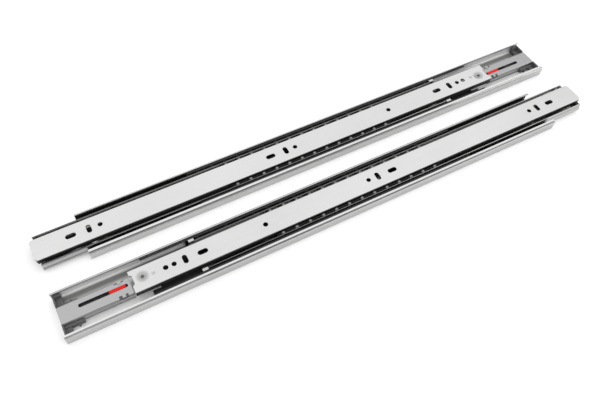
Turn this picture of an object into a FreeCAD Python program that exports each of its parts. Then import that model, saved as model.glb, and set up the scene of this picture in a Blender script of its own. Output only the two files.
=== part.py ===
import FreeCAD, Part
import math
import os

# Pair of full-extension ball-bearing slides with soft-close units, in millimetres, +Z up.
# Each slide lies on its cabinet member's web, open side up. The two slides are identical and lie
# side by side, turned end for end, both pulled open a short way, the near one a little further.
# Every piece is drawn once in the slide's own frame: x runs along the travel from the cabinet
# member's rear end, y across, z up from the web's back.

# Members
cabinet_length = 500.0
overall_width = 45.5
overall_height = 12.7
sheet = 1.2
middle_sheet = 1.0
drawer_shortfall = 19.0
middle_shortfall = 79.0
drawer_opening = 42.0
near_extra_opening = 1.5
middle_front_setback = 3.5
slide_pitch = 66.0
end_stagger = 3.1

# Ball bearings
outer_ball_d = 5.5
inner_ball_d = 4.5
race_play = 0.05
outer_ball_z = 7.8
ball_pitch = 13.5
cage_margin = 5.0
pocket_reach = 1.6
outer_cage_length = 320.0
outer_cage_rear = 75.0
outer_cage_sheet = 0.8
outer_cage_low = 4.4
outer_cage_high = 10.2
outer_rail_low = 9.4
outer_rim_high = 10.95
outer_rim_inset = 0.65
outer_rim_width = 1.4
outer_tail_length = 41.0
outer_tail_inset = 3.25
outer_plate_length = 10.0
outer_front_plate_length = 20.0
outer_plate_low = 1.6
outer_plate_thickness = 0.4
plate_notch_depth = 8.0
plate_notch_play = 0.8
inner_cage_length = 174.0
inner_cage_rear = 189.0
inner_cage_sheet = 0.6
inner_cage_low = 6.0
inner_cage_high = 10.1
inner_plate_low = 4.0
inner_plate_thickness = 0.4
inner_plate_length = 16.0

# Bends of the rolled sections
cabinet_bend = 1.0
cabinet_flare_bend = 1.2
cabinet_flare_turn = 18.0
cabinet_lip_angle = 79.0
middle_web_low = 2.4
middle_low_angle = 40.0
middle_high_angle = 8.0
middle_lip_angle = 45.0
crimp_length = 5.0
crimp_start = 1.3
crimp_width = 3.0
crimp_rise = 1.6
crimp_height = 1.0
drawer_high_angle = 42.0
drawer_low_angle = 42.0
front_corner_cut = 3.0

# Holes in the drawer member's web, from its front end
group_pitch = 192.0
group_count = 3
long_slot_from_front = 33.5
long_slot_length = 9.4
long_slot_width = 4.6
cross_slot_step = 16.0
cross_slot_length = 8.6
cross_slot_width = 4.4
round_hole_step = 26.0
round_hole_d = 4.4
last_hole_step = 33.5
last_hole_d = 4.6
single_hole_from_front = 358.0
single_hole_d = 4.6
dimple_from_rear = 19.0
dimple_ball_r = 5.0
dimple_depth = 0.5
notch_depth = 2.2
notch_mouth = 13.0
notch_root = 8.0
dish_r = 6.2
dish_depth = 0.9

# Holes in the cabinet and intermediate members
cabinet_hole_from_front = 37.0
cabinet_hole_pitch = 160.0
cabinet_hole_count = 3
cabinet_hole_d = 4.6
access_length = 14.0
access_width = 9.0
stop_bar_length = 1.5
stop_bar_half = 8.0
stop_bar_height = 0.8
stop_bar_from_front = 3.0

# Soft-close unit
unit_rear = 1.0
unit_front = 61.5
tray_half = 8.1
tray_floor = 1.2
tray_wall = 1.0
tray_top = 8.2
tray_round = 1.3
end_wall = 2.0
foot_length = 6.7
foot_inset = 2.45
foot_plate_top = 4.6
foot_post_width = 2.6
foot_post_top = 8.6
foot_wall = 1.2
foot_wall_top = 9.4
stud_r = 1.1
stud_x = 13.5
stud_y = 11.4
stud_top = 4.6
rib_length = 17.5
rib_width = 2.2
rib_top = 5.6
cover_sheet = 0.7
cover_top_sheet = 0.8
cover_edge_round = 2.0
skirt_low = 3.5
skirt_rear = 18.6
window_rear = 49.0
window_front = 57.0
window_inner = 5.9
ledge_inner = 5.4
ledge_rear = 47.0
ledge_low = 7.7
window_low = 6.6
lug_rear = 51.8
lug_front = 54.8
lug_outer = 8.3
lug_rise = 0.5
catch_line = 1.3
cover_slot_width = 3.4
cover_slot_rear = 17.6
cover_slot_front = 59.3
catch_travel = 22.0
catch_rear = 43.0
catch_front = 57.5
catch_half = 2.0
catch_low = 3.8
catch_stem_rear = 43.8
catch_stem_half = 1.4
catch_proud = 0.1
arm_height = 3.6
rod_arm_length = 3.5
spring_arm_rear = 50.0
spring_arm_length = 2.5
running_play = 0.05
cylinder_r = 2.5
cylinder_front = 31.0
cylinder_line = -4.4
cylinder_wall = 0.65
cylinder_end = 1.5
rod_r = 0.8
piston_length = 2.5
spring_line = 5.3
spring_z = 5.2
spring_r = 1.2
spring_wire = 0.5
spring_turns = 24
rivet_places = (12.0, 50.0)
rivet_r = 1.5
rivet_head_r = 2.25
rivet_head = 1.0
pin_from_rear = 10.0
pin_r = 1.5
pin_flange_r = 2.6
pin_flange = 0.8
pin_low = 9.5
pin_proud = 0.2
pin_recess_r = 1.0
pin_recess = 0.8
stop_from_front = 10.0
stop_length = 6.0
stop_half = 5.0
stop_height = 2.0
plug_bar_height = 0.8
plug_r = 2.0
plug_length = 3.5
plug_setback = 0.5
plug_post_half = 0.5
stop_peg_r = 1.5

# Values that follow from the ones above
drawer_length = cabinet_length - drawer_shortfall
middle_length = cabinet_length - middle_shortfall
drawer_front = cabinet_length + drawer_opening
drawer_rear = drawer_front - drawer_length
middle_front = drawer_front - middle_front_setback
middle_rear = middle_front - middle_length
drawer_web_low = overall_height - sheet
outer_ball_r = outer_ball_d / 2
inner_ball_r = inner_ball_d / 2
outer_race_r = outer_ball_r + race_play
inner_race_r = inner_ball_r + race_play
outer_ball_y = overall_width / 2 - sheet - outer_race_r
cover_half = tray_half + cover_sheet
foot_half = overall_width / 2 - foot_inset
pair_centre_x = (drawer_front - end_stagger) / 2
pin_x = drawer_rear + pin_from_rear
cylinder_z = sheet + tray_floor + cylinder_r
cover_top = tray_top + cover_top_sheet
small_cut = 1.0
close_enough = 1e-6

os.makedirs("parts", exist_ok=True)


def vec(x, y, z):
    return FreeCAD.Vector(x, y, z)


def box(x0, x1, y0, y1, z0, z1):
    return Part.makeBox(x1 - x0, y1 - y0, z1 - z0, vec(x0, y0, z0))


def upright(radius, x, y, z0, z1):
    return Part.makeCylinder(radius, z1 - z0, vec(x, y, z0), vec(0, 0, 1))


def lengthwise(radius, x0, x1, y, z):
    return Part.makeCylinder(radius, x1 - x0, vec(x0, y, z), vec(1, 0, 0))


def crosswise(radius, x, y0, y1, z):
    return Part.makeCylinder(radius, y1 - y0, vec(x, y0, z), vec(0, 1, 0))


def slot(x, y, length, width, z0, z1, along_x=True):
    """An upright slot with round ends, centred on x, y."""
    half = (length - width) / 2
    radius = width / 2
    if along_x:
        body = box(x - half, x + half, y - radius, y + radius, z0, z1)
        ends = [upright(radius, x + side * half, y, z0, z1) for side in (-1, 1)]
    else:
        body = box(x - radius, x + radius, y - half, y + half, z0, z1)
        ends = [upright(radius, x, y + side * half, z0, z1) for side in (-1, 1)]
    return body.multiFuse(ends).removeSplitter()


def plan_prism(corners, z0, z1):
    """An upright prism over a list of (x, y) corners."""
    points = [vec(x, y, z0) for x, y in corners]
    face = Part.Face(Part.makePolygon(points + points[:1]))
    return face.extrude(vec(0, 0, z1 - z0))


def step_along(y, z, heading, segment):
    """The end of one straight or curved segment of a section's centre line, and its heading."""
    if segment[0] == "line":
        length = segment[1]
        return y + length * math.cos(heading), z + length * math.sin(heading), heading
    radius, turn = segment[1], math.radians(segment[2])
    side = math.copysign(1.0, turn)
    centre_y = y - side * radius * math.sin(heading)
    centre_z = z + side * radius * math.cos(heading)
    new_heading = heading + turn
    return (centre_y + side * radius * math.sin(new_heading),
            centre_z - side * radius * math.cos(new_heading), new_heading)


def section_face(half, web_z, thickness):
    """The closed section of a symmetric sheet: the half line runs from the middle of the web outwards."""
    y, z, heading = 0.0, web_z, 0.0
    for segment in half:
        y, z, heading = step_along(y, z, heading, segment)
    y, heading = -y, -heading
    both = list(reversed(half[1:])) + [("line", 2 * half[0][1])] + list(half[1:])
    rows = {1: [], -1: []}
    caps = []
    for segment in both:
        curved = segment[0] == "arc"
        middle = (segment[0], segment[1] if curved else segment[1] / 2)
        if curved:
            middle = middle + (segment[2] / 2,)
        places = [(y, z, heading), step_along(y, z, heading, middle), step_along(y, z, heading, segment)]
        for side in rows:
            shift = side * thickness / 2
            ends = [vec(0, a - shift * math.sin(h), b + shift * math.cos(h)) for a, b, h in places]
            edge = Part.Arc(*ends).toShape() if curved else Part.makeLine(ends[0], ends[2])
            rows[side].append(edge)
            caps.append((side, ends[0], ends[2]))
        y, z, heading = places[2]
    first = {side: start for side, start, end in caps[:2]}
    last = {side: end for side, start, end in caps[-2:]}
    edges = rows[1] + [Part.makeLine(last[1], last[-1])] + rows[-1] + [Part.makeLine(first[1], first[-1])]
    return Part.Face(Part.Wire(Part.__sortEdges__(edges)))


def member(half, web_z, thickness, x0, x1):
    face = section_face(half, web_z, thickness)
    face.translate(vec(x0, 0, 0))
    return face.extrude(vec(x1 - x0, 0, 0))


# Cabinet member: flat web, upright legs, lips rolled over the outer balls.
cabinet_race = outer_race_r + sheet / 2
flare = math.radians(cabinet_flare_turn)
cabinet_leg_y = (outer_ball_y + cabinet_race * math.cos(flare)
                 - cabinet_flare_bend * (1 - math.cos(flare)))
cabinet_leg_top = (outer_ball_z - cabinet_race * math.sin(flare)
                   - cabinet_flare_bend * math.sin(flare))
cabinet_half = [
    ("line", cabinet_leg_y - cabinet_bend),
    ("arc", cabinet_bend, 90.0),
    ("line", cabinet_leg_top - sheet / 2 - cabinet_bend),
    ("arc", cabinet_flare_bend, -cabinet_flare_turn),
    ("arc", cabinet_race, cabinet_flare_turn + cabinet_lip_angle),
]
cabinet = member(cabinet_half, sheet / 2, sheet, 0.0, cabinet_length)
stop_bar_x = cabinet_length - stop_bar_from_front - stop_bar_length
cabinet = cabinet.fuse(box(stop_bar_x, stop_bar_x + stop_bar_length, -stop_bar_half, stop_bar_half,
                           sheet / 2, sheet + stop_bar_height)).removeSplitter()
cabinet_holes = [cabinet_length - cabinet_hole_from_front - i * cabinet_hole_pitch
                 for i in range(cabinet_hole_count)]
for x in cabinet_holes:
    cabinet = cabinet.cut(upright(cabinet_hole_d / 2, x, 0.0, -small_cut, sheet + small_cut))
for x in rivet_places:
    cabinet = cabinet.cut(upright(rivet_r, x, catch_line, -small_cut, sheet + small_cut))

# Intermediate member: legs bent to an S, with the outer balls' race outside and the inner one inside.
middle_outer_race = outer_race_r + middle_sheet / 2
middle_inner_race = inner_race_r + middle_sheet / 2
low = math.radians(middle_low_angle)
high = math.radians(middle_high_angle)
middle_web_z = middle_web_low + middle_sheet / 2
race_start_y = outer_ball_y - middle_outer_race * math.cos(low)
race_start_z = outer_ball_z - middle_outer_race * math.sin(low)
middle_bend = (race_start_z - middle_web_z) / (1 + math.sin(low))
middle_half = [
    ("line", race_start_y - middle_bend * math.cos(low)),
    ("arc", middle_bend, 90.0 + middle_low_angle),
    ("arc", middle_outer_race, -(middle_low_angle + middle_high_angle)),
    ("arc", middle_inner_race, middle_high_angle + middle_lip_angle),
]
inner_ball_y = outer_ball_y - (middle_outer_race + middle_inner_race) * math.cos(high)
inner_ball_z = outer_ball_z + (middle_outer_race + middle_inner_race) * math.sin(high)
middle = member(middle_half, middle_web_z, middle_sheet, middle_rear, middle_front)
for x in cabinet_holes:
    middle = middle.cut(slot(x, 0.0, access_length, access_width, middle_web_low - small_cut,
                             middle_web_low + middle_sheet + small_cut))
stop_x = middle_front - stop_from_front - stop_length
middle = middle.cut(upright(stop_peg_r, stop_x + stop_length / 2, 0.0, middle_web_low - small_cut,
                            middle_web_low + middle_sheet + small_cut))

# The rear ends of its lips are crimped flat, so that nothing runs out of the race.
crimp_y = inner_ball_y + crimp_start
crimp_z = inner_ball_z + crimp_rise
for side in (-1, 1):
    inner_y, outer_y = sorted((side * crimp_y, side * (crimp_y + crimp_width)))
    middle = middle.fuse(box(middle_rear, middle_rear + crimp_length, inner_y, outer_y,
                             crimp_z, crimp_z + crimp_height))
middle = middle.removeSplitter()

# Drawer member: flat web on top, short legs turned down round the inner balls.
drawer_race = inner_race_r + sheet / 2
drawer_web_z = overall_height - sheet / 2
drawer_high = math.radians(drawer_high_angle)
leg_start_y = inner_ball_y - drawer_race * math.cos(drawer_high)
leg_start_z = inner_ball_z + drawer_race * math.sin(drawer_high)
drawer_bend = (drawer_web_z - leg_start_z) / (1 + math.sin(drawer_high))
drawer_half = [
    ("line", leg_start_y - drawer_bend * math.cos(drawer_high)),
    ("arc", drawer_bend, -(90.0 + drawer_high_angle)),
    ("arc", drawer_race, drawer_high_angle + drawer_low_angle),
]
drawer = member(drawer_half, drawer_web_z, sheet, drawer_rear, drawer_front)
cut_low = drawer_web_low - small_cut
cut_high = overall_height + small_cut
for i in range(group_count):
    x = drawer_front - long_slot_from_front - i * group_pitch
    drawer = drawer.cut(slot(x, 0.0, long_slot_length, long_slot_width, cut_low, cut_high))
    drawer = drawer.cut(slot(x - cross_slot_step, 0.0, cross_slot_length, cross_slot_width,
                             cut_low, cut_high, along_x=False))
    drawer = drawer.cut(upright(round_hole_d / 2, x - round_hole_step, 0.0, cut_low, cut_high))
rear_slot_x = drawer_front - long_slot_from_front - (group_count - 1) * group_pitch
drawer = drawer.cut(upright(last_hole_d / 2, rear_slot_x - last_hole_step, 0.0, cut_low, cut_high))
drawer = drawer.cut(upright(single_hole_d / 2, drawer_front - single_hole_from_front, 0.0,
                            cut_low, cut_high))

# A shallow dish is pressed into the web around the pin, so the sheet bulges on the underside.
dish_ball_r = (dish_r ** 2 + dish_depth ** 2) / (2 * dish_depth)
dish_centre = vec(pin_x, catch_line, overall_height + dish_ball_r - dish_depth)
dish_low = drawer_web_low - dish_depth
bulge = Part.makeSphere(dish_ball_r + sheet, dish_centre)
bulge = bulge.common(upright(dish_r + sheet, pin_x, catch_line, dish_low - small_cut, drawer_web_z))
drawer = drawer.fuse(bulge).cut(Part.makeSphere(dish_ball_r, dish_centre)).removeSplitter()
drawer = drawer.cut(upright(pin_r, pin_x, catch_line, dish_low - small_cut, cut_high))
drawer = drawer.cut(Part.makeSphere(dimple_ball_r, vec(drawer_rear + dimple_from_rear, 0.0,
                                                       overall_height + dimple_ball_r - dimple_depth)))
drawer = drawer.cut(plan_prism([
    (drawer_rear - small_cut, catch_line - notch_mouth / 2),
    (drawer_rear + notch_depth, catch_line - notch_root / 2),
    (drawer_rear + notch_depth, catch_line + notch_root / 2),
    (drawer_rear - small_cut, catch_line + notch_mouth / 2)], cut_low, cut_high))
drawer_edge = leg_start_y + sheet
for side in (-1, 1):
    drawer = drawer.cut(plan_prism([
        (drawer_front - front_corner_cut, side * (drawer_edge + small_cut)),
        (drawer_front - front_corner_cut, side * drawer_edge),
        (drawer_front + small_cut, side * (drawer_edge - front_corner_cut - small_cut)),
        (drawer_front + small_cut, side * (drawer_edge + small_cut))], 0.0, cut_high))

# Ball cages: two strips joined by thin cross plates, with a round pocket for every ball.


def cage_strips(x0, x1, y, thickness, z0, z1):
    return [box(x0, x1, side * y - thickness / 2, side * y + thickness / 2, z0, z1) for side in (-1, 1)]


def cross_plate(x0, x1, y, thickness, low_z, plate_thickness, strip_low):
    outer = y + thickness / 2
    pieces = [box(x0, x1, -outer, outer, low_z, low_z + plate_thickness)]
    return pieces + cage_strips(x0, x1, y, thickness, low_z, strip_low + small_cut)


# The outer cage's strips reach over the balls with a narrow rim. Behind the last ball only the rims and
# a flat tail on the web go on.
outer_cage_front = outer_cage_rear + outer_cage_length
outer_zone_rear = outer_cage_rear + outer_tail_length
outer_zone_length = outer_cage_front - outer_zone_rear
pieces = cage_strips(outer_zone_rear, outer_cage_front, outer_ball_y, outer_cage_sheet,
                     outer_cage_low, outer_cage_high)
pieces += cage_strips(outer_cage_rear, outer_zone_rear, outer_ball_y, outer_cage_sheet,
                      outer_rail_low, outer_cage_high)
pieces += cage_strips(outer_cage_rear, outer_cage_front, outer_ball_y - outer_rim_inset,
                      outer_rim_width, outer_cage_high, outer_rim_high)
plate_high = outer_plate_low + outer_plate_thickness
outer_tail_half = outer_ball_y - outer_tail_inset
plate_notch_half = cover_half + plate_notch_play
pieces.append(box(outer_cage_rear, outer_zone_rear + small_cut, -outer_tail_half, outer_tail_half,
                  outer_plate_low, plate_high))
pieces += cross_plate(outer_zone_rear, outer_zone_rear + outer_plate_length, outer_ball_y,
                      outer_cage_sheet, outer_plate_low, outer_plate_thickness, outer_cage_low)
pieces += cross_plate(outer_cage_front - outer_front_plate_length, outer_cage_front, outer_ball_y,
                      outer_cage_sheet, outer_plate_low, outer_plate_thickness, outer_cage_low)
outer_cage = pieces[0].multiFuse(pieces[1:])
outer_cage = outer_cage.cut(box(outer_cage_rear - small_cut, outer_cage_rear + plate_notch_depth,
                                -plate_notch_half, plate_notch_half, 0.0, outer_cage_low))

inner_cage_front = inner_cage_rear + inner_cage_length
pieces = cage_strips(inner_cage_rear, inner_cage_front, inner_ball_y, inner_cage_sheet,
                     inner_cage_low, inner_cage_high)
for x in (inner_cage_rear, inner_cage_front - inner_plate_length):
    pieces += cross_plate(x, x + inner_plate_length, inner_ball_y, inner_cage_sheet,
                          inner_plate_low, inner_plate_thickness, inner_cage_low)
inner_cage = pieces[0].multiFuse(pieces[1:])


def ball_places(rear, length):
    steps = int((length - 2 * cage_margin) / ball_pitch)
    first = rear + (length - steps * ball_pitch) / 2
    return [first + i * ball_pitch for i in range(steps + 1)]


def balls_and_pockets(places, radius, y, z):
    balls = [Part.makeSphere(radius, vec(x, side * y, z)) for x in places for side in (-1, 1)]
    pockets = [crosswise(radius, x, side * y - pocket_reach, side * y + pocket_reach, z)
               for x in places for side in (-1, 1)]
    return Part.makeCompound(balls), Part.makeCompound(pockets)


outer_balls, pockets = balls_and_pockets(ball_places(outer_zone_rear, outer_zone_length),
                                         outer_ball_r, outer_ball_y, outer_ball_z)
outer_cage = outer_cage.cut(pockets).removeSplitter()
inner_balls, pockets = balls_and_pockets(ball_places(inner_cage_rear, inner_cage_length),
                                         inner_ball_r, inner_ball_y, inner_ball_z)
inner_cage = inner_cage.cut(pockets).removeSplitter()

# Soft-close unit: tray, cover, catch, dashpot and spring.


def rounded_bar(half, z0, z1, radius):
    """A bar along the unit whose two upper long edges are rounded."""
    bar = box(unit_rear, unit_front, -half, half, z0, z1)
    upper = [e for e in bar.Edges
             if all(abs(v.Z - z1) < close_enough for v in e.Vertexes)
             and abs(e.Vertexes[0].Y - e.Vertexes[1].Y) < close_enough]
    return bar.makeFillet(radius, upper)


# The tray fills the cover. At the rear it has a foot on either side: a rib with a stud along the cover, a
# flat plate that carries a post under the cabinet member's lip, and a wall across the end. Two ledges close
# it under the windows.
floor_top = sheet + tray_floor
tray = rounded_bar(tray_half, sheet, tray_top, tray_round)
for side in (-1, 1):
    for start, end, length, top in ((tray_half - tray_wall, foot_half, foot_length, foot_plate_top),
                                    (tray_half - tray_wall, cover_half + rib_width, rib_length, rib_top),
                                    (foot_half - foot_post_width, foot_half, foot_length, foot_post_top),
                                    (cover_half, foot_half, foot_wall, foot_wall_top)):
        inner_y, outer_y = sorted((side * start, side * end))
        tray = tray.fuse(box(unit_rear, unit_rear + length, inner_y, outer_y, sheet, top))
    tray = tray.fuse(upright(stud_r, stud_x, side * stud_y, sheet, stud_top))
tray = tray.cut(box(unit_rear + end_wall, unit_front - end_wall, -tray_half + tray_wall,
                    tray_half - tray_wall, floor_top, tray_top + small_cut)).removeSplitter()
for side in (-1, 1):
    inner_y, outer_y = sorted((side * ledge_inner, side * (tray_half - tray_wall)))
    ledge = box(ledge_rear, unit_front - end_wall, inner_y, outer_y, ledge_low, tray_top)
    tray = tray.fuse(ledge.common(rounded_bar(tray_half, sheet, tray_top, tray_round)))
tray = tray.removeSplitter()
for x in rivet_places:
    tray = tray.cut(upright(rivet_r, x, catch_line, 0.0, floor_top + small_cut))

rivets = []
for x in rivet_places:
    shank = upright(rivet_r, x, catch_line, 0.0, floor_top)
    head = upright(rivet_head_r, x, catch_line, floor_top, floor_top + rivet_head)
    rivets.append(shank.fuse(head).removeSplitter())
rivets = Part.makeCompound(rivets)

cover = rounded_bar(cover_half, skirt_low, cover_top, cover_edge_round)
cover = cover.cut(rounded_bar(tray_half, sheet, tray_top, tray_round))
for side in (-1, 1):
    inner_y, outer_y = sorted((side * tray_half, side * (cover_half + small_cut)))
    cover = cover.cut(box(unit_rear - small_cut, skirt_rear, inner_y, outer_y,
                          skirt_low - small_cut, rib_top))
    inner_y, outer_y = sorted((side * window_inner, side * (cover_half + small_cut)))
    window = box(window_rear, window_front, inner_y, outer_y, window_low, cover_top + small_cut)
    window = window.cut(rounded_bar(tray_half, sheet, tray_top, tray_round))
    cover = cover.cut(window)
    inner_y, outer_y = sorted((side * (window_inner - small_cut), side * lug_outer))
    lug = box(lug_rear, lug_front, inner_y, outer_y, cover_top - lug_rise, cover_top + lug_rise)
    cover = cover.fuse(lug)
cover = cover.removeSplitter()
cover_slot_length = cover_slot_front - cover_slot_rear
cover = cover.cut(slot((cover_slot_rear + cover_slot_front) / 2, catch_line, cover_slot_length,
                       cover_slot_width, tray_top - small_cut, cover_top + small_cut))

arm_reach = tray_half - tray_wall - running_play
catch_high = tray_top - running_play
arm_high = catch_low + arm_height
catch = box(catch_rear, catch_front, catch_line - catch_half, catch_line + catch_half,
            catch_low, catch_high)
catch = catch.fuse(box(catch_stem_rear, catch_front, catch_line - catch_stem_half,
                       catch_line + catch_stem_half, catch_low, cover_top + catch_proud))
catch = catch.fuse(box(catch_front - rod_arm_length, catch_front, -arm_reach, catch_line,
                       catch_low, arm_high))
catch = catch.fuse(box(spring_arm_rear, spring_arm_rear + spring_arm_length, catch_line, arm_reach,
                       catch_low, arm_high))
catch = catch.removeSplitter()

cylinder_rear = unit_rear + end_wall
bore_r = cylinder_r - cylinder_wall
cylinder = lengthwise(cylinder_r, cylinder_rear, cylinder_front, cylinder_line, cylinder_z)
cylinder = cylinder.cut(lengthwise(bore_r, cylinder_rear + cylinder_end, cylinder_front - cylinder_end,
                                   cylinder_line, cylinder_z))
cylinder = cylinder.cut(lengthwise(rod_r + running_play, cylinder_front - cylinder_end - small_cut,
                                   cylinder_front + small_cut, cylinder_line, cylinder_z))
rod_end = catch_front - rod_arm_length
piston_front = cylinder_front - cylinder_end - running_play
rod = lengthwise(rod_r, piston_front - piston_length, rod_end, cylinder_line, cylinder_z)
rod = rod.fuse(lengthwise(bore_r - running_play, piston_front - piston_length, piston_front,
                          cylinder_line, cylinder_z)).removeSplitter()

spring_rear = unit_rear + end_wall + spring_wire / 2
spring_front = spring_arm_rear - spring_wire / 2
spring_length = spring_front - spring_rear
coil = Part.makeHelix(spring_length / spring_turns, spring_length, spring_r)
wire_end = Part.Wire(Part.makeCircle(spring_wire / 2, vec(spring_r, 0, 0), vec(0, 1, 0)))
spring = Part.Wire(coil.Edges).makePipeShell([wire_end], True, True)
spring.rotate(vec(0, 0, 0), vec(0, 1, 0), 90)
spring.translate(vec(spring_rear, spring_line, spring_z))

pin_top = overall_height - dish_depth + pin_proud
pin = upright(pin_r, pin_x, catch_line, pin_low, pin_top)
pin = pin.fuse(upright(pin_flange_r, pin_x, catch_line, dish_low - pin_flange, dish_low))
pin = pin.cut(upright(pin_recess_r, pin_x, catch_line, pin_top - pin_recess, cut_high)).removeSplitter()

stop_low = middle_web_low + middle_sheet
cage_stop = box(stop_x, stop_x + stop_length, -stop_half, stop_half, stop_low, stop_low + stop_height)
cage_stop = cage_stop.fuse(upright(stop_peg_r, stop_x + stop_length / 2, 0.0, middle_web_low, stop_low))

# Two plugs close the front ends of the inner races. A flat bar under the drawer member carries them.
plug_front = middle_front - plug_setback
plug_rear = plug_front - plug_length
bar_high = stop_low + plug_bar_height
plug_reach = inner_ball_y + plug_post_half
cage_stop = cage_stop.fuse(box(stop_x, plug_front, -stop_half, stop_half, stop_low, bar_high))
cage_stop = cage_stop.fuse(box(plug_rear, plug_front, -plug_reach, plug_reach, stop_low, bar_high))
for side in (-1, 1):
    plug_y = side * inner_ball_y
    cage_stop = cage_stop.fuse(box(plug_rear, plug_front, plug_y - plug_post_half, plug_y + plug_post_half,
                                   stop_low, inner_ball_z))
    cage_stop = cage_stop.fuse(lengthwise(plug_r, plug_rear, plug_front, plug_y, inner_ball_z))
cage_stop = cage_stop.removeSplitter()

# Both slides: the far one is turned half a turn about the pair's middle. On the near one everything that
# stays with the cabinet member lies further back, and the outer cage and its balls half as far.
slide_pieces = {
    "cabinet_member": cabinet,
    "intermediate_member": middle,
    "drawer_member": drawer,
    "outer_ball_cage": outer_cage,
    "outer_balls": outer_balls,
    "inner_ball_cage": inner_cage,
    "inner_balls": inner_balls,
    "damper_tray": tray,
    "damper_cover": cover,
    "tray_rivets": rivets,
    "catch": catch,
    "damper_cylinder": cylinder,
    "damper_piston_rod": rod,
    "catch_spring": spring,
    "actuator_pin": pin,
    "cage_stop": cage_stop,
}
cabinet_group = ("cabinet_member", "damper_tray", "damper_cover", "tray_rivets", "catch",
                 "damper_cylinder", "damper_piston_rod", "catch_spring")
cage_group = ("outer_ball_cage", "outer_balls")
for name, shape in slide_pieces.items():
    near = shape.copy()
    near.translate(vec(-pair_centre_x, -slide_pitch / 2, 0))
    far = near.copy()
    far.rotate(vec(0, 0, 0), vec(0, 0, 1), 180)
    if name in cabinet_group:
        near.translate(vec(-near_extra_opening, 0, 0))
    if name in cage_group:
        near.translate(vec(-near_extra_opening / 2, 0, 0))
    near.exportStep("parts/near_" + name + ".step")
    far.exportStep("parts/far_" + name + ".step")
    span = near.BoundBox
    print(name, "solids", len(near.Solids), "valid", near.isValid(), "volume", round(near.Volume, 1),
          "x", round(span.XMin, 2), round(span.XMax, 2), "y", round(span.YMin, 2), round(span.YMax, 2),
          "z", round(span.ZMin, 2), round(span.ZMax, 2))
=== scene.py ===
# %% [markdown]
# This lesson dresses a pair of telescopic ball-bearing slides. The shapes come from the imported CAD model,
# which is loaded first and never moved. Blender adds the finishes, copies of the two springs, the
# studio and the camera.

# %% Load the slides
import math
import bmesh
import bpy
from mathutils import Euler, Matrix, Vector


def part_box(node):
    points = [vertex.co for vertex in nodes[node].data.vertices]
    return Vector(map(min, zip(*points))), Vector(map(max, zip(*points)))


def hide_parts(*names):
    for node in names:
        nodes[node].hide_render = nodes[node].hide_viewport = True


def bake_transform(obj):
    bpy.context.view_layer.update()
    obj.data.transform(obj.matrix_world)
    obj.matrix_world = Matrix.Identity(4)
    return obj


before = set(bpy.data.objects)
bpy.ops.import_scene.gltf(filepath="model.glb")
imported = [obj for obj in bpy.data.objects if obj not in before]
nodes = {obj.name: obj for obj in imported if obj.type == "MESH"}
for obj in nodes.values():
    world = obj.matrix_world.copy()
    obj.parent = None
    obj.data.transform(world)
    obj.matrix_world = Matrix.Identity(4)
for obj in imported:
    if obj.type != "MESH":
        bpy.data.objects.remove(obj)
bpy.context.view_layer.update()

slides = ("near", "far")

# %% [markdown]
# Every finish below is a small graph of shader nodes. It could be drawn in the shader editor, but code can
# use one graph for several finishes. Two helpers keep it short: one starts a material, and one adds a node
# and fills its sockets.

# %% Start a finish
def start_finish(name):
    finish = bpy.data.materials.new(name)
    finish.use_nodes = True
    tree = finish.node_tree
    shader = tree.nodes["Principled BSDF"]
    return finish, tree, shader


def add_node(tree, kind, **sockets):
    node = tree.nodes.new(kind)
    for socket, value in sockets.items():
        node.inputs[socket.replace("_", " ")].default_value = value
    return node


print("finishes start from the Principled shader")

# %% [markdown]
# Metal and plastic show a grain. An image of it would need a map of each surface, so noise is used instead.
# It reads Object coordinates, because each piece sits at the origin, and the pattern then stays put when
# the piece slides. Noise crowds round its middle, so the middle of its range is spread out.

# %% Grain
even_stretch = (1.0, 1.0, 1.0)
noise_low = 0.3
noise_high = 0.7


def object_pattern(tree, stretch):
    place = tree.nodes.new("ShaderNodeTexCoord")
    mapping = tree.nodes.new("ShaderNodeMapping")
    mapping.inputs["Scale"].default_value = stretch
    tree.links.new(place.outputs["Object"], mapping.inputs["Vector"])
    return mapping.outputs["Vector"]


def grain_value(tree, stretch, scale, detail):
    noise = add_node(tree, "ShaderNodeTexNoise", Scale=scale, Detail=detail)
    tree.links.new(object_pattern(tree, stretch), noise.inputs["Vector"])
    spread = add_node(tree, "ShaderNodeMapRange", From_Min=noise_low, From_Max=noise_high)
    tree.links.new(noise.outputs["Fac"], spread.inputs["Value"])
    return spread.outputs["Result"]


print("noise from", noise_low, "to", noise_high, "is spread to the whole range")

# %% [markdown]
# The same grain then does three jobs, as it does on a real surface: it shifts the colour a little, it makes
# the gloss uneven, and it stands up as a very low relief.

# %% What the grain does
def tint_between(tree, shader, grain, dark, light):
    mix = tree.nodes.new("ShaderNodeMix")
    mix.data_type = "RGBA"
    mix.inputs["A"].default_value = (*dark, 1.0)
    mix.inputs["B"].default_value = (*light, 1.0)
    tree.links.new(grain, mix.inputs["Factor"])
    tree.links.new(mix.outputs["Result"], shader.inputs["Base Color"])


def vary_gloss(tree, shader, grain, rough_low, rough_high):
    spread = add_node(tree, "ShaderNodeMapRange", To_Min=rough_low, To_Max=rough_high)
    tree.links.new(grain, spread.inputs["Value"])
    tree.links.new(spread.outputs["Result"], shader.inputs["Roughness"])


def add_bump(tree, shader, grain, strength, distance):
    bump = add_node(tree, "ShaderNodeBump", Strength=strength, Distance=distance)
    tree.links.new(grain, bump.inputs["Height"])
    tree.links.new(bump.outputs["Normal"], shader.inputs["Normal"])


print("grain drives colour, gloss and relief")

# %% [markdown]
# The members are rolled from zinc-plated strip. Plating looks like a soft grey mirror with a faint grain
# along the rolling direction, so the noise is stretched along X, and a second, wide noise clouds the
# plating a little. One graph with different tints serves the three kinds of member and the covers.

# %% Zinc plating
rolling_stretch = (12.0, 700.0, 700.0)
cloud_share = 0.6


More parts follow.
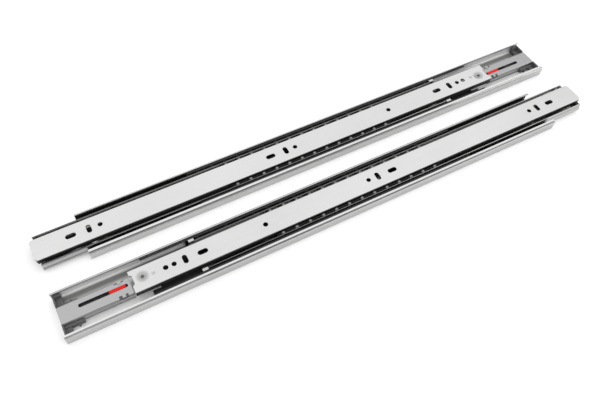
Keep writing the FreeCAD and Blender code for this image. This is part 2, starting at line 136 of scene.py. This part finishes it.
def zinc_plating(name, dark, light, rough_low, rough_high):
    finish, tree, shader = start_finish(name)
    rolling_grain = grain_value(tree, rolling_stretch, scale=3.0, detail=4.0)
    cloud = grain_value(tree, even_stretch, scale=9.0, detail=2.0)
    both_grains = add_node(tree, "ShaderNodeMix", Factor=cloud_share)
    tree.links.new(rolling_grain, both_grains.inputs["A"])
    tree.links.new(cloud, both_grains.inputs["B"])
    tint_between(tree, shader, both_grains.outputs["Result"], dark, light)
    vary_gloss(tree, shader, both_grains.outputs["Result"], rough_low, rough_high)
    shader.inputs["Metallic"].default_value = 1.0
    add_bump(tree, shader, rolling_grain, strength=0.04, distance=0.0002)
    return finish


bright_zinc = zinc_plating("bright_zinc", (0.62, 0.62, 0.617), (0.72, 0.72, 0.717), 0.28, 0.4)
middle_zinc = zinc_plating("middle_zinc", (0.5, 0.5, 0.495), (0.58, 0.58, 0.575), 0.18, 0.28)
dull_zinc = zinc_plating("dull_zinc", (0.6, 0.6, 0.595), (0.68, 0.68, 0.675), 0.22, 0.32)
cover_zinc = zinc_plating("cover_zinc", (0.42, 0.42, 0.425), (0.48, 0.48, 0.485), 0.38, 0.5)
print("zinc finishes", bright_zinc.name, middle_zinc.name, dull_zinc.name, cover_zinc.name)

# %% [markdown]
# Rolled strip does not look the same all over. A matt inside lies on it as a coat, and so does painted
# shade: black in the deep gaps along the races, where it also stands for grease, grey in hollows, and a
# painted shadow on one floor. A coat could be painted on the mesh, but a CAD mesh is left as it is. So each
# coat is placed by measure: how far from the middle of the slide it lies, how high, and how far forward. A
# ramp over each measure is 1 where the coat lies, and the ramps multiply to a mask.

# %% Measures for the coats
slide_middle = abs(sum(corner[1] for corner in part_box("far_drawer_member")) / 2)


def millimetres(*lengths):
    return [length * 0.001 for length in lengths]


def ramp(tree, value, start, end):
    spread = add_node(tree, "ShaderNodeMapRange", From_Min=start, From_Max=end)
    tree.links.new(value, spread.inputs["Value"])
    return spread.outputs["Result"]


def arithmetic(tree, operation, *values):
    node = tree.nodes.new("ShaderNodeMath")
    node.operation = operation
    for socket, value in zip(node.inputs, values):
        if isinstance(value, float):
            socket.default_value = value
        else:
            tree.links.new(value, socket)
    return node.outputs[0]


print("slide middles at", round(slide_middle, 4), "m from the pair's middle")

# %% [markdown]
# The two slides lie either side of the pair's middle and are turned end for end, so the sign of Y tells
# which slide a point is on and which way is forward. A coat lies on both sides of its slide, or only on the
# side away from the viewer where it is one-sided; that one-sided coat is a painted shadow.

# %% Where a coat lies
def section_mask(tree, inner_edge, outer_edge, low_edge, high_edge, rear_edge, one_sided):
    place = tree.nodes.new("ShaderNodeTexCoord")
    parts = tree.nodes.new("ShaderNodeSeparateXYZ")
    tree.links.new(place.outputs["Object"], parts.inputs["Vector"])
    side = arithmetic(tree, "SIGN", parts.outputs["Y"])
    middle = arithmetic(tree, "MULTIPLY", side, slide_middle)
    across = arithmetic(tree, "SUBTRACT", parts.outputs["Y"], middle)
    if not one_sided:
        across = arithmetic(tree, "ABSOLUTE", across)
    height = parts.outputs["Z"]
    along = arithmetic(tree, "MULTIPLY", parts.outputs["X"], arithmetic(tree, "MULTIPLY", side, -1.0))
    mask = ramp(tree, across, *inner_edge)
    for measure, edge in ((across, outer_edge), (height, low_edge), (height, high_edge), (along, rear_edge)):
        mask = arithmetic(tree, "MULTIPLY", mask, ramp(tree, measure, *edge))
    return mask


print("a coat has an inner, an outer, a low, a high and a rear edge")

# %% [markdown]
# A coat covers the plating's colour with its own tint, and it dulls the metal where it is thick. It is laid
# over whatever the finish had before, so several coats can follow each other. An edge that does not matter
# is set where every point is past it.

# %% Lay a coat
anywhere = millimetres(-2.0, -1.0)
all_along = millimetres(-900.0, -800.0)


def lay_coat(finish, tint, cover, dulling, outer_edge, high_edge, inner_edge=anywhere, low_edge=anywhere,
             rear_edge=all_along, one_sided=False):
    tree = finish.node_tree
    shader = tree.nodes["Principled BSDF"]
    mask = section_mask(tree, inner_edge, outer_edge, low_edge, high_edge, rear_edge, one_sided)
    coat = tree.nodes.new("ShaderNodeMix")
    coat.data_type = "RGBA"
    coat.inputs["B"].default_value = (*tint, 1.0)
    tree.links.new(arithmetic(tree, "MULTIPLY", mask, cover), coat.inputs["Factor"])
    tree.links.new(shader.inputs["Base Color"].links[0].from_socket, coat.inputs["A"])
    tree.links.new(coat.outputs["Result"], shader.inputs["Base Color"])
    metal = arithmetic(tree, "SUBTRACT", 1.0, arithmetic(tree, "MULTIPLY", mask, dulling))
    if shader.inputs["Metallic"].links:
        metal = arithmetic(tree, "MULTIPLY", metal, shader.inputs["Metallic"].links[0].from_socket)
    tree.links.new(metal, shader.inputs["Metallic"])


print("coats can be laid")

# %% [markdown]
# On the drawer members the races at both sides, below the flat web, are painted black: painted shade of the
# deep gaps there, which also stands for the grease that ball races carry and that turns black in use. The
# pressed dish and the walls of the holes, which are just below the web's top, are painted grey as painted
# shade in these hollows.

# %% Coats on the drawer members
# The black is painted shade in deep gaps, also standing for grease; the grey is painted shade in hollows and a
# painted shadow.
shade_and_grease_black = (0.012, 0.012, 0.011)
painted_shade_grey = (0.2, 0.2, 0.195)
lay_coat(bright_zinc, shade_and_grease_black, cover=1.0, dulling=1.0,
         inner_edge=millimetres(9.0, 9.6), outer_edge=millimetres(20.0, 19.0),
         low_edge=millimetres(1.0, 2.0), high_edge=millimetres(12.5, 11.9))
lay_coat(bright_zinc, painted_shade_grey, cover=0.8, dulling=0.0,
         outer_edge=millimetres(9.6, 9.0),
         low_edge=millimetres(4.0, 5.0), high_edge=millimetres(12.68, 11.7))
# The printed grease and dust are painted shade in the races, the dish and the holes.
print(bright_zinc.name, "has grease in its races and dust in its dish")

# %% [markdown]
# The intermediate members have races on their inner side too, and only those are painted black, as painted
# shade of the gap inside the channel that also stands for grease, so that the outer side of their legs stays
# clean.

# %% Coat on the intermediate members
lay_coat(middle_zinc, shade_and_grease_black, cover=1.0, dulling=1.0,
         inner_edge=millimetres(9.0, 10.0), outer_edge=millimetres(14.8, 14.4),
         low_edge=millimetres(3.6, 4.6), high_edge=millimetres(14.0, 13.0))
# The printed grease is painted shade in the inner races, partly standing for grease.
print(middle_zinc.name, "has grease in its inner races")

# %% [markdown]
# The inside of the cabinet members stays matt, while their lips were polished by the forming rolls. A painted
# shadow darkens the floor between the damper cover and the far leg, on the side away from the viewer, and the
# races are painted black as far back as the balls run, as painted shade in the race that also stands for
# grease.

# %% Coats on the cabinet members
matt_grey = (0.88, 0.88, 0.875)
race_wall_edge = millimetres(22.2, 21.8)
lay_coat(dull_zinc, matt_grey, cover=1.0, dulling=0.9,
         outer_edge=race_wall_edge, high_edge=millimetres(10.6, 10.0))
# Painted shadow on the floor between the damper cover and the far leg, laid one-sided.
lay_coat(dull_zinc, painted_shade_grey, cover=0.97, dulling=0.0,
         inner_edge=millimetres(9.0, 15.5), outer_edge=millimetres(20.5, 18.5),
         high_edge=millimetres(2.4, 1.6), one_sided=True)
# Painted shade in the races, partly standing for grease.
lay_coat(dull_zinc, shade_and_grease_black, cover=1.0, dulling=1.0,
         inner_edge=millimetres(12.0, 14.0), outer_edge=race_wall_edge,
         high_edge=millimetres(10.9, 10.5), rear_edge=millimetres(-156.0, -148.0))
# The printed dust and grease are a painted shadow and painted shade.
print(dull_zinc.name, "is matt, dusty and greased inside")

# %% [markdown]
# Bearing balls are polished, and those of the outer races are dark with grease. Rivets, rods and pins are
# plainer steel, and the springs are drawn wire. They share one graph with different tints and roughness.

# %% Small steel pieces
def turned_steel(name, dark, light, rough_low, rough_high):
    finish, tree, shader = start_finish(name)
    speckle = grain_value(tree, even_stretch, scale=900.0, detail=3.0)
    tint_between(tree, shader, speckle, dark, light)
    vary_gloss(tree, shader, speckle, rough_low, rough_high)
    shader.inputs["Metallic"].default_value = 1.0
    add_bump(tree, shader, speckle, strength=0.03, distance=0.0001)
    return finish


ball_polish = turned_steel("ball_polish", (0.2, 0.2, 0.2), (0.26, 0.26, 0.26), 0.3, 0.4)
greased_ball = turned_steel("greased_ball", (0.02, 0.02, 0.02), (0.04, 0.04, 0.04), 0.35, 0.5)
pin_metal = turned_steel("pin_metal", (0.16, 0.16, 0.155), (0.22, 0.22, 0.215), 0.35, 0.5)
rivet_metal = turned_steel("rivet_metal", (0.5, 0.5, 0.49), (0.62, 0.62, 0.61), 0.35, 0.5)
spring_wire = turned_steel("spring_wire", (0.34, 0.34, 0.34), (0.44, 0.44, 0.44), 0.3, 0.42)
steel_finishes = (ball_polish, greased_ball, pin_metal, rivet_metal, spring_wire)
print("steel finishes", [finish.name for finish in steel_finishes])

# %% [markdown]
# The cages and stops are moulded in black, the trays in dark grey, the dashpots in a lighter grey and the
# catches in red. Moulded plastic shows the fine texture of its mould, so each gets a small bump and an
# uneven gloss. The red is kept less shiny, so that it stays red under the wide panel overhead.

# %% Moulded plastics
def moulded_plastic(name, dark, light, rough_low, rough_high):
    finish, tree, shader = start_finish(name)
    texture = grain_value(tree, even_stretch, scale=1500.0, detail=2.0)
    tint_between(tree, shader, texture, dark, light)
    vary_gloss(tree, shader, texture, rough_low, rough_high)
    add_bump(tree, shader, texture, strength=0.12, distance=0.0001)
    return finish


dark_moulding = moulded_plastic("dark_moulding", (0.1, 0.1, 0.1), (0.13, 0.13, 0.13), 0.5, 0.65)
black_moulding = moulded_plastic("black_moulding", (0.006, 0.006, 0.006), (0.014, 0.014, 0.014), 0.55, 0.7)
grey_moulding = moulded_plastic("grey_moulding", (0.3, 0.3, 0.31), (0.38, 0.38, 0.39), 0.45, 0.6)
red_moulding = moulded_plastic("red_moulding", (0.72, 0.01, 0.008), (0.8, 0.018, 0.014), 0.42, 0.55)
red_shine = 0.2
red_moulding.node_tree.nodes["Principled BSDF"].inputs["Specular IOR Level"].default_value = red_shine
print("plastic finishes", dark_moulding.name, black_moulding.name, grey_moulding.name, red_moulding.name)

# %% [markdown]
# Each CAD piece takes the finish of its kind. The names are the same on both slides apart from the first
# word, so one table serves both.

# %% Dress the CAD pieces
finishes = {
    "drawer_member": bright_zinc,
    "intermediate_member": middle_zinc,
    "cabinet_member": dull_zinc,
    "damper_cover": cover_zinc,
    "outer_balls": greased_ball,
    "inner_balls": ball_polish,
    "tray_rivets": rivet_metal,
    "actuator_pin": pin_metal,
    "damper_piston_rod": rivet_metal,
    "catch_spring": spring_wire,
    "outer_ball_cage": black_moulding,
    "inner_ball_cage": black_moulding,
    "damper_tray": dark_moulding,
    "cage_stop": black_moulding,
    "damper_cylinder": grey_moulding,
    "catch": red_moulding,
}
for slide in slides:
    for piece, finish in finishes.items():
        mesh = nodes[slide + "_" + piece].data
        mesh.materials.clear()
        mesh.materials.append(finish)
print("dressed", len(slides) * len(finishes), "pieces")

# %% [markdown]
# The spring of each soft-close unit hangs on the tray at its rear end and on the catch at its front end, so
# it draws together as the catch goes home. A CAD piece rides on one body only and would push through the
# tray. So a copy of the coil stands for it. CAD meshes are loose triangles, which are merged first.

# %% Copy a coil
merge_distance = 0.000001


def copy_coil(name, spring_node):
    coil_mesh = bmesh.new()
    coil_mesh.from_mesh(nodes[spring_node].data)
    bmesh.ops.remove_doubles(coil_mesh, verts=coil_mesh.verts, dist=merge_distance)
    coil_data = bpy.data.meshes.new(name)
    coil_mesh.to_mesh(coil_data)
    coil_mesh.free()
    coil_data.shade_smooth()
    coil_data.materials.append(spring_wire)
    coil = bpy.data.objects.new(name, coil_data)
    bpy.context.scene.collection.objects.link(coil)
    return coil


print("points closer than", merge_distance, "m are merged")

# %% [markdown]
# Each copy stays where its CAD coil was, and the CAD coil is hidden. The near slide's
# rear end is at its low end along X, and the far slide is turned end for end.

# %% Springs between tray and catch
for slide in slides:
    spring_node = slide + "_catch_spring"
    coil = copy_coil(slide + "_coil_spring", spring_node)
    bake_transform(coil)
    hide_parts(spring_node)

# %% [markdown]
# The slides lie on a white sweep, as in a photo studio. The floor is a plain disc of white paper. More
# light would make it pure white but would burn out the metal, so it glows a little instead, mostly to the
# camera and slightly to the metal. What lies in the shade of the slides still keeps the soft shadow.

# %% Floor
floor_radius = 3.0
floor_mesh = bmesh.new()
bmesh.ops.create_circle(floor_mesh, cap_ends=True, segments=96, radius=floor_radius)
floor_data = bpy.data.meshes.new("floor")
floor_mesh.to_mesh(floor_data)
floor_mesh.free()
floor = bpy.data.objects.new("floor", floor_data)
bpy.context.scene.collection.objects.link(floor)
print("floor radius", floor_radius, "m")

# %% [markdown]
# The paper is a diffuse shader with the glow added to it. A Light Path node tells what kind of ray has
# arrived, so the glow can have one strength for the camera and another for rays that the metal mirrors.

# %% White paper
pure_white = (1.0, 1.0, 1.0, 1.0)
paper_white = (0.82, 0.82, 0.82, 1.0)
paper_seen = 0.3
paper_mirrored = 0.06

sweep = bpy.data.materials.new("white_sweep")
sweep.use_nodes = True
paper_tree = sweep.node_tree
paper_tree.nodes.clear()
paper = add_node(paper_tree, "ShaderNodeBsdfDiffuse", Color=paper_white)
glow = add_node(paper_tree, "ShaderNodeEmission", Color=pure_white)
paper_ray = paper_tree.nodes.new("ShaderNodeLightPath")
seen_glow = arithmetic(paper_tree, "MULTIPLY", paper_ray.outputs["Is Camera Ray"], paper_seen)
mirrored_glow = arithmetic(paper_tree, "MULTIPLY", paper_ray.outputs["Is Glossy Ray"], paper_mirrored)
paper_tree.links.new(arithmetic(paper_tree, "ADD", seen_glow, mirrored_glow), glow.inputs["Strength"])
glowing_paper = paper_tree.nodes.new("ShaderNodeAddShader")
paper_tree.links.new(paper.outputs["BSDF"], glowing_paper.inputs[0])
paper_tree.links.new(glow.outputs["Emission"], glowing_paper.inputs[1])
surface = paper_tree.nodes.new("ShaderNodeOutputMaterial")
paper_tree.links.new(glowing_paper.outputs["Shader"], surface.inputs["Surface"])
floor.data.materials.append(sweep)
print("paper glows", paper_seen, "to the camera and", paper_mirrored, "to the metal")

# %% [markdown]
# Around the floor is a white room. It gives the object only a weak fill, and the camera sees it as pure
# white. Bare metal shows what it mirrors, and straight ahead on the viewer's side it finds no panel. So the
# room is a little brighter there for mirrored rays, and the slides do not go dark when seen from behind.

# %% Room
room_fill = 0.1
room_seen = 0.9
room_mirrored = 0.16
viewer_side = (0.1, -0.15)

world = bpy.data.worlds.new("white_room")
bpy.context.scene.world = world
world.use_nodes = True
room = world.node_tree
background = room.nodes["Background"]
background.inputs["Color"].default_value = pure_white
room_direction = room.nodes.new("ShaderNodeTexCoord")
room_parts = room.nodes.new("ShaderNodeSeparateXYZ")
room.links.new(room_direction.outputs["Generated"], room_parts.inputs["Vector"])
room_ray = room.nodes.new("ShaderNodeLightPath")
to_viewer = ramp(room, room_parts.outputs["Y"], *viewer_side)
to_metal = arithmetic(room, "MULTIPLY", room_ray.outputs["Is Glossy Ray"], to_viewer)
room_level = arithmetic(room, "MULTIPLY_ADD", to_metal, room_mirrored, room_fill)
to_camera = arithmetic(room, "MULTIPLY", room_ray.outputs["Is Camera Ray"], room_seen)
room.links.new(arithmetic(room, "ADD", room_level, to_camera), background.inputs["Strength"])
print("room fill", room_fill, "seen", round(room_fill + room_seen, 2))

# %% [markdown]
# Light comes from a wide soft box overhead, one behind the slides and one at the right. The flat webs
# mirror the overhead one, which makes them evenly light. A fill from the viewer's side lights the matt
# inner walls. The metal does not mirror it, so that the dark line along the rolled lips stays.

# %% Light
def soft_box(name, place, aim, width, length, power):
    lamp = bpy.data.lights.new(name, "AREA")
    lamp.shape = "RECTANGLE"
    lamp.size = width
    lamp.size_y = length
    lamp.energy = power
    panel = bpy.data.objects.new(name, lamp)
    panel.location = place
    panel.rotation_euler = (Vector(aim) - Vector(place)).to_track_quat("-Z", "Y").to_euler()
    bpy.context.scene.collection.objects.link(panel)
    return panel


soft_box("sky_panel", place=(0.6, 1.0, 1.6), aim=(0.6, 1.0, 0.0), width=5.6, length=5.0, power=92.0)
soft_box("back_panel", place=(0.6, 3.5, 0.8), aim=(0.6, 0.0, 0.8), width=7.0, length=1.6, power=35.0)
soft_box("side_panel", place=(2.9, -1.7, 0.8), aim=(0.0, 0.0, 0.8), width=3.6, length=1.6, power=18.0)
front_fill = soft_box("front_fill", place=(0.6, -2.4, 2.2), aim=(0.0, 0.0, 0.0), width=4.0, length=1.8,
                      power=30.0)
front_fill.visible_glossy = False

# %% [markdown]
# The camera was solved from the holes and edges seen in the photograph. It looks through a normal lens, stands
# above and before the near slide's rear half, and is turned towards that slide's front. The solved focal
# length is in pixels of the photograph, so the sensor's and the image's widths turn it into millimetres.

# %% Camera
image_width = 600
focal_pixels = 617.68
camera_place = (-0.20879, -0.29746, 0.47017)
camera_turns = (33.865, -1.668, -28.314)

lens = bpy.data.cameras.new("studio_camera")
lens.sensor_fit = "HORIZONTAL"
lens.sensor_width = 36.0
lens.lens = lens.sensor_width * focal_pixels / image_width
lens.clip_start = 0.01
camera = bpy.data.objects.new("studio_camera", lens)
camera.location = camera_place
camera.rotation_euler = Euler([math.radians(turn) for turn in camera_turns], "XYZ")
bpy.context.scene.collection.objects.link(camera)
bpy.context.scene.camera = camera
bpy.context.scene.view_settings.view_transform = "Standard"
print("lens", round(lens.lens, 2), "mm")
